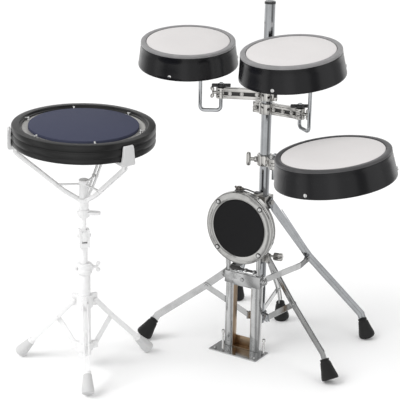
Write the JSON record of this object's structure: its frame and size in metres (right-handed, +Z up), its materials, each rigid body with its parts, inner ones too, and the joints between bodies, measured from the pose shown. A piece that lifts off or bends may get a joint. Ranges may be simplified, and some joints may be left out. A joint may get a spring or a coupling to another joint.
{
  "type": "practice pad drum kit",
  "caption": "Practice pad drum kit: tom pads and a kick pad on a folding chrome rack, and a snare pad on its own stand.",
  "frame": {"origin": "middle of the underside of the kick tower's base plate, on the floor", "axes": "+Z up, +Y away from the player, +X to the player's right"},
  "size_m": [0.873, 0.7707, 0.857],
  "materials": {
    "chrome": "polished",
    "black_plastic": "satin",
    "rim_grey": "satin",
    "pad_white": "matt",
    "black_rubber": "matt",
    "navy_rubber": "matt",
    "pale_metal": "satin"
  },
  "bodies": {
    "rack": {"base_plate": "chrome", "kick_dish": "chrome", "kick_rubber": "black_rubber", "kick_tower": "chrome", "post_tube": "chrome", "stand_base_tube": "pale_metal"},
    "leg_hub": {"leg_hub": "chrome"},
    "hub_screw": {"hub_wing_screw": "chrome"},
    "leg_left": {"tripod_boot_left": "black_rubber", "tripod_leg_left": "chrome"},
    "brace_left": {"tripod_brace_left": "chrome"},
    "leg_right": {"tripod_boot_right": "black_rubber", "tripod_leg_right": "chrome"},
    "brace_right": {"tripod_brace_right": "chrome"},
    "leg_rear": {"tripod_boot_rear": "black_rubber", "tripod_leg_rear": "chrome"},
    "brace_rear": {"tripod_brace_rear": "chrome"},
    "spur_left": {"floor_spur_left": "chrome"},
    "spur_right": {"floor_spur_right": "chrome"},
    "stay_bracket": {"kick_top_bar": "black_plastic", "stay_bracket": "chrome"},
    "stays": {"stay_boot_left": "black_rubber", "stay_boot_right": "black_rubber", "stay_leg_left": "chrome", "stay_leg_right": "chrome"},
    "straps": {"stay_strap_left": "chrome", "stay_strap_right": "chrome"},
    "arm_left": {"tom_arm_left": "chrome"},
    "rod_left": {"tom_rod_left": "chrome"},
    "lever_left": {"arm_lever_left": "black_plastic"},
    "arm_right": {"tom_arm_right": "chrome"},
    "rod_right": {"tom_rod_right": "chrome"},
    "lever_right": {"arm_lever_right": "black_plastic"},
    "side_clamp": {"side_clamp": "chrome"},
    "rod_side": {"tom_rod_side": "chrome"},
    "side_knob": {"side_knob": "chrome"},
    "tom_left": {"tom_bracket_left": "chrome", "tom_disc_left": "pad_white", "tom_rim_left": "rim_grey", "tom_shell_left": "black_plastic"},
    "tom_right": {"tom_bracket_right": "chrome", "tom_disc_right": "pad_white", "tom_rim_right": "rim_grey", "tom_shell_right": "black_plastic"},
    "tom_side": {"tom_bracket_side": "chrome", "tom_disc_side": "pad_white", "tom_rim_side": "rim_grey", "tom_shell_side": "black_plastic"},
    "stand_upper": {"stand_upper_rod": "pale_metal"},
    "stand_collar": {"stand_leg_collar": "pale_metal"},
    "stand_leg_left": {"stand_leg_left": "pale_metal"},
    "stand_brace_left": {"stand_brace_left": "pale_metal"},
    "stand_leg_right": {"stand_leg_right": "pale_metal"},
    "stand_brace_right": {"stand_brace_right": "pale_metal"},
    "stand_leg_front": {"stand_leg_front": "pale_metal"},
    "stand_brace_front": {"stand_brace_front": "pale_metal"},
    "snare": {"snare_disc": "navy_rubber", "snare_hoop": "black_rubber", "snare_plate": "rim_grey", "stand_basket": "pale_metal"}
  },
  "joints": [
    {"name": "bracket_slide", "type": "slide", "parent": "rack", "child": "stay_bracket", "axis": [0, 0, 1], "range_m": [0, 0.06]},
    {"name": "stays_fold", "type": "hinge", "parent": "stay_bracket", "child": "stays", "pos_m": [0.00644, 0.09748, 0.368], "axis": [0.9962, -0.0872, 0], "range_deg": [-10.24, 0]},
    {"name": "straps_fold", "type": "hinge", "parent": "rack", "child": "straps", "pos_m": [0, 0.0205, 0.19], "axis": [1, 0, 0], "range_deg": [0, 26.04]},
    {"name": "leg_hub_slide", "type": "slide", "parent": "rack", "child": "leg_hub", "axis": [0, 0, 1], "range_m": [0, 0.033]},
    {"name": "hub_screw_turn", "type": "hinge", "parent": "leg_hub", "child": "hub_screw", "pos_m": [0.006, 0.0925, 0.2285], "axis": [0.9659, 0.2588, 0], "continuous": true},
    {"name": "leg_swing_left", "type": "hinge", "parent": "leg_hub", "child": "leg_left", "pos_m": [-0.01698, 0.07758, 0.2285], "axis": [-0.5446, 0.8387, 0], "range_deg": [-8.94, 0]},
    {"name": "brace_swing_left", "type": "hinge", "parent": "rack", "child": "brace_left", "pos_m": [-0.01518, 0.07481, 0.069], "axis": [-0.5446, 0.8387, 0], "range_deg": [0, 9.46]},
    {"name": "leg_swing_right", "type": "hinge", "parent": "leg_hub", "child": "leg_right", "pos_m": [0.03083, 0.08092, 0.2285], "axis": [-0.4226, -0.9063, 0], "range_deg": [-8.84, 0]},
    {"name": "brace_swing_right", "type": "hinge", "parent": "rack", "child": "brace_right", "pos_m": [0.03223, 0.08391, 0.069], "axis": [-0.4226, -0.9063, 0], "range_deg": [0, 9.56]},
    {"name": "leg_swing_rear", "type": "hinge", "parent": "leg_hub", "child": "leg_rear", "pos_m": [0.00266, 0.1197, 0.2285], "axis": [0.9925, 0.1219, 0], "range_deg": [-4.42, 0]},
    {"name": "brace_swing_rear", "type": "hinge", "parent": "rack", "child": "brace_rear", "pos_m": [-0.00061, 0.11929, 0.069], "axis": [0.9925, 0.1219, 0], "range_deg": [0, 15.97]},
    {"name": "spur_lift_left", "type": "slide", "parent": "rack", "child": "spur_left", "axis": [0, 0, 1], "range_m": [0, 0.015]},
    {"name": "spur_lift_right", "type": "slide", "parent": "rack", "child": "spur_right", "axis": [0, 0, 1], "range_m": [0, 0.015]},
    {"name": "arm_swivel_left", "type": "hinge", "parent": "rack", "child": "arm_left", "pos_m": [0.006, 0.0925, 0.634], "axis": [0, 0, 1], "range_deg": [-15, 15]},
    {"name": "rod_swivel_left", "type": "hinge", "parent": "arm_left", "child": "rod_left", "pos_m": [-0.0954, 0.04735, 0.634], "axis": [0, 0, 1], "range_deg": [-15, 15]},
    {"name": "lever_turn_left", "type": "hinge", "parent": "arm_left", "child": "lever_left", "pos_m": [-0.0954, 0.04735, 0.634], "axis": [0, 0, 1], "range_deg": [-60, 60]},
    {"name": "tom_tilt_left", "type": "hinge", "parent": "rod_left", "child": "tom_left", "pos_m": [-0.1385, 0.0225, 0.68901], "axis": [0.8878, 0.4602, 0], "range_deg": [-10, 10]},
    {"name": "arm_swivel_right", "type": "hinge", "parent": "rack", "child": "arm_right", "pos_m": [0.006, 0.0925, 0.602], "axis": [0, 0, 1], "range_deg": [-15, 15]},
    {"name": "rod_swivel_right", "type": "hinge", "parent": "arm_right", "child": "rod_right", "pos_m": [0.09791, 0.08849, 0.602], "axis": [0, 0, 1], "range_deg": [-15, 15]},
    {"name": "lever_turn_right", "type": "hinge", "parent": "arm_right", "child": "lever_right", "pos_m": [0.09791, 0.08849, 0.602], "axis": [0, 0, 1], "range_deg": [-60, 60]},
    {"name": "tom_tilt_right", "type": "hinge", "parent": "rod_right", "child": "tom_right", "pos_m": [0.1378, 0.06, 0.73723], "axis": [0.9998, -0.0175, 0], "range_deg": [-10, 10]},
    {"name": "side_clamp_swivel", "type": "hinge", "parent": "rack", "child": "side_clamp", "pos_m": [0.006, 0.0925, 0.474], "axis": [0, 0, 1], "range_deg": [-15, 15]},
    {"name": "side_knob_turn", "type": "hinge", "parent": "side_clamp", "child": "side_knob", "pos_m": [0.006, 0.0925, 0.474], "axis": [-0.9135, -0.4067, 0], "continuous": true},
    {"name": "rod_swivel_side", "type": "hinge", "parent": "side_clamp", "child": "rod_side", "pos_m": [0.04237, 0.0715, 0.474], "axis": [0, 0, 1], "range_deg": [-15, 15]},
    {"name": "tom_tilt_side", "type": "hinge", "parent": "rod_side", "child": "tom_side", "pos_m": [0.2445, -0.095, 0.54061], "axis": [0.7009, -0.7133, 0], "range_deg": [-10, 10]},
    {"name": "stand_collar_slide", "type": "slide", "parent": "rack", "child": "stand_collar", "axis": [0, 0, 1], "range_m": [0, 0.026]},
    {"name": "stand_leg_swing_left", "type": "hinge", "parent": "stand_collar", "child": "stand_leg_left", "pos_m": [-0.2847, -0.28658, 0.168], "axis": [-0.2756, 0.9613, 0], "range_deg": [-26.34, 0]},
    {"name": "stand_brace_swing_left", "type": "hinge", "parent": "rack", "child": "stand_brace_left", "pos_m": [-0.2847, -0.28658, 0.052], "axis": [-0.2756, 0.9613, 0], "range_deg": [0, 21.14]},
    {"name": "stand_leg_swing_right", "type": "hinge", "parent": "stand_collar", "child": "stand_leg_right", "pos_m": [-0.24833, -0.2566, 0.168], "axis": [0.891, -0.454, 0], "range_deg": [-26.34, 0]},
    {"name": "stand_brace_swing_right", "type": "hinge", "parent": "rack", "child": "stand_brace_right", "pos_m": [-0.24833, -0.2566, 0.052], "axis": [0.891, -0.454, 0], "range_deg": [0, 21.14]},
    {"name": "stand_leg_swing_front", "type": "hinge", "parent": "stand_collar", "child": "stand_leg_front", "pos_m": [-0.24348, -0.29919, 0.168], "axis": [-0.766, -0.6428, 0], "range_deg": [-26.34, 0]},
    {"name": "stand_brace_swing_front", "type": "hinge", "parent": "rack", "child": "stand_brace_front", "pos_m": [-0.24348, -0.29919, 0.052], "axis": [-0.766, -0.6428, 0], "range_deg": [0, 21.14]},
    {"name": "stand_height", "type": "slide", "parent": "rack", "child": "stand_upper", "axis": [0, 0, 1], "range_m": [-0.035, 0.06]},
    {"name": "basket_tilt", "type": "hinge", "parent": "stand_upper", "child": "snare", "pos_m": [-0.26, -0.2795, 0.33], "axis": [0.6691, 0.7431, 0], "range_deg": [-12, 12]}
  ],
  "couplings": [
    {"joint": "stays_fold", "follows": "bracket_slide", "rad_per_m": -2.9799},
    {"joint": "straps_fold", "follows": "bracket_slide", "rad_per_m": 7.5742},
    {"joint": "leg_hub_slide", "follows": "bracket_slide", "ratio": 0.55},
    {"joint": "leg_swing_left", "follows": "bracket_slide", "rad_per_m": -2.6004},
    {"joint": "brace_swing_left", "follows": "bracket_slide", "rad_per_m": 2.7527},
    {"joint": "leg_swing_right", "follows": "bracket_slide", "rad_per_m": -2.5725},
    {"joint": "brace_swing_right", "follows": "bracket_slide", "rad_per_m": 2.7802},
    {"joint": "leg_swing_rear", "follows": "bracket_slide", "rad_per_m": -1.2843},
    {"joint": "brace_swing_rear", "follows": "bracket_slide", "rad_per_m": 4.645},
    {"joint": "stand_leg_swing_left", "follows": "stand_collar_slide", "rad_per_m": -17.682},
    {"joint": "stand_brace_swing_left", "follows": "stand_collar_slide", "rad_per_m": 14.191},
    {"joint": "stand_leg_swing_right", "follows": "stand_collar_slide", "rad_per_m": -17.682},
    {"joint": "stand_brace_swing_right", "follows": "stand_collar_slide", "rad_per_m": 14.191},
    {"joint": "stand_leg_swing_front", "follows": "stand_collar_slide", "rad_per_m": -17.682},
    {"joint": "stand_brace_swing_front", "follows": "stand_collar_slide", "rad_per_m": 14.191}
  ]
}
